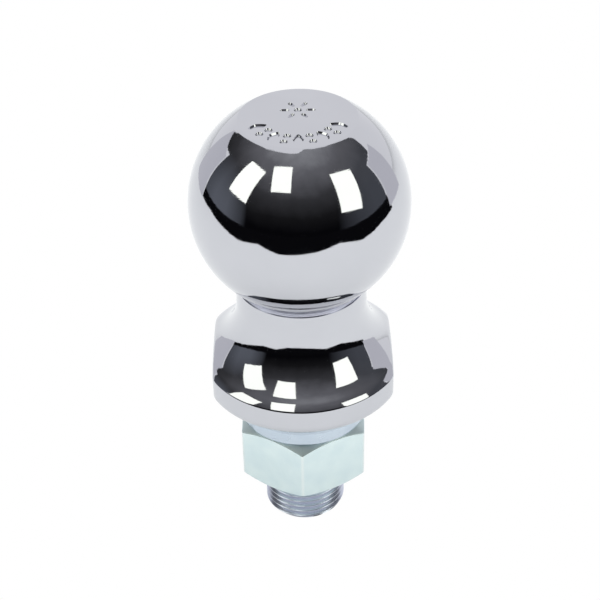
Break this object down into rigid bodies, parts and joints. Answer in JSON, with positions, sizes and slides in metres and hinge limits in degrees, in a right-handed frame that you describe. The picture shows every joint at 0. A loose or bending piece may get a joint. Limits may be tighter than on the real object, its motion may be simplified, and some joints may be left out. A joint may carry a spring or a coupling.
{
  "type": "trailer hitch ball with nut and washer",
  "caption": "Chromed trailer hitch ball with a flat top, short neck, flared collar with two wrench flats, and threaded shank, carrying a split lock washer and a hex nut.",
  "frame": {"origin": "centre of the shank's flat end face, on the axis", "axes": "+Z along the axis from the shank's end to the ball's flat top; -Y is the side that one corner of the nut points to, turned by about 2 degrees"},
  "size_m": [0.0476, 0.0476, 0.1059],
  "materials": {
    "chrome": "polished chrome plate, mirror bright on the ball and collar, satin on the threads",
    "washer_zinc": "clear blue zinc plate on spring steel, satin",
    "nut_zinc": "clear blue zinc plate, satin, slightly cloudy"
  },
  "bodies": {
    "ball_body": {"hitch_ball": "chrome"},
    "washer_body": {"lock_washer": "washer_zinc"},
    "nut_body": {"hex_nut": "nut_zinc"}
  },
  "joints": [
    {"name": "washer_slide", "type": "slide", "parent": "ball_body", "child": "washer_body", "axis": [0, 0, -1], "range_m": [0, 0.02381]},
    {"name": "nut_spin", "type": "hinge", "parent": "washer_body", "child": "nut_body", "pos_m": [0, 0, 0.0209], "axis": [0, 0, -1], "range_deg": [0, 5400]}
  ],
  "couplings": [
    {"joint": "washer_slide", "follows": "nut_spin", "m_per_rad": 0.00025266}
  ]
}
